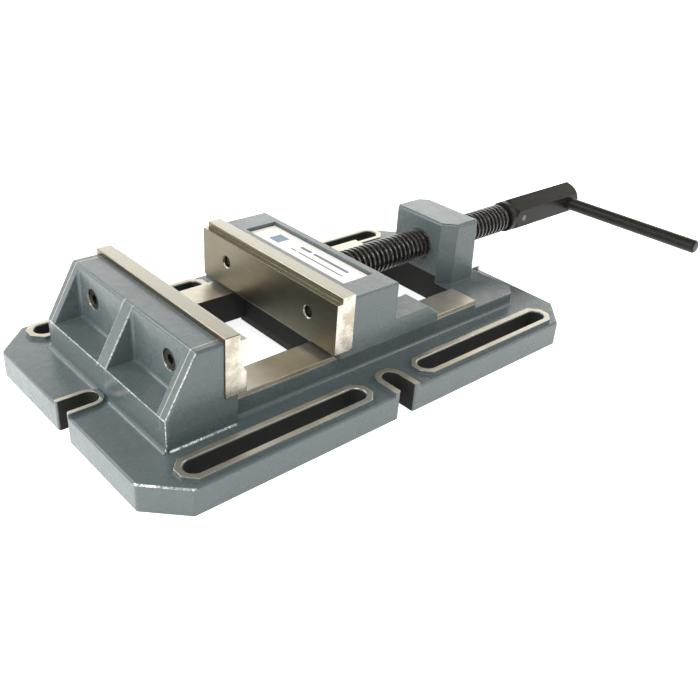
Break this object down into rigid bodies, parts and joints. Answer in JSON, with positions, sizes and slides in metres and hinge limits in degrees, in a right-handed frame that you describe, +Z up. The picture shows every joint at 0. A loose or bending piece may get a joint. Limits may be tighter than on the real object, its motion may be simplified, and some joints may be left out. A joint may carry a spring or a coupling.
{
  "type": "drill press vise",
  "caption": "Low-profile drill-press vise: slotted cast base, steel-faced fixed and sliding jaws, and a lead screw turned by a side crank rod.",
  "frame": {"origin": "centre of the four closed hold-down slots, on the base's underside", "axes": "+X along the lead screw towards the crank, +Y to the left seen from the crank's opposite end looking along +X, +Z up"},
  "size_m": [0.505, 0.2491, 0.0815],
  "materials": {
    "blue_grey_enamel": "blue-grey enamel over cast iron, machined faces bare",
    "ground_steel": "ground",
    "oiled_black_steel": "black oxide, oiled",
    "black_oxide_steel": "black oxide",
    "spring_steel": "plain",
    "bronze": "turned",
    "label_film": "satin film"
  },
  "bodies": {
    "base": {"base_casting": "blue_grey_enamel", "fixed_jaw_plate": "ground_steel", "fixed_plate_screw_left": "black_oxide_steel", "fixed_plate_screw_right": "black_oxide_steel", "fixed_lock_washer_left": "spring_steel", "fixed_lock_washer_right": "spring_steel"},
    "jaw": {"movable_jaw": "blue_grey_enamel", "movable_jaw_plate": "ground_steel", "movable_plate_screw_left": "black_oxide_steel", "movable_plate_screw_right": "black_oxide_steel", "movable_lock_washer_left": "spring_steel", "movable_lock_washer_right": "spring_steel", "keeper_plate": "ground_steel", "keeper_screw_front_left": "black_oxide_steel", "keeper_screw_front_right": "black_oxide_steel", "keeper_washer_front_left": "spring_steel", "keeper_washer_front_right": "spring_steel", "keeper_screw_rear_left": "black_oxide_steel", "keeper_screw_rear_right": "black_oxide_steel", "keeper_washer_rear_left": "spring_steel", "keeper_washer_rear_right": "spring_steel", "thrust_button": "spring_steel", "thrust_washer": "bronze", "retaining_pin_left": "spring_steel", "retaining_pin_right": "spring_steel", "name_label": "label_film"},
    "crank": {"lead_screw": "oiled_black_steel", "crank_hub": "black_oxide_steel", "hub_pin": "black_oxide_steel", "crank_rod": "black_oxide_steel", "rod_grub_screw": "black_oxide_steel"}
  },
  "joints": [
    {"name": "jaw_slide", "type": "slide", "parent": "base", "child": "jaw", "axis": [1, 0, 0], "range_m": [-0.0694, 0.078]},
    {"name": "screw_turn", "type": "hinge", "parent": "jaw", "child": "crank", "pos_m": [0.1, 0, 0.056], "axis": [1, 0, 0], "range_deg": [-5431, 6103]}
  ],
  "couplings": [
    {"joint": "jaw_slide", "follows": "screw_turn", "m_per_rad": 0.00073211}
  ]
}
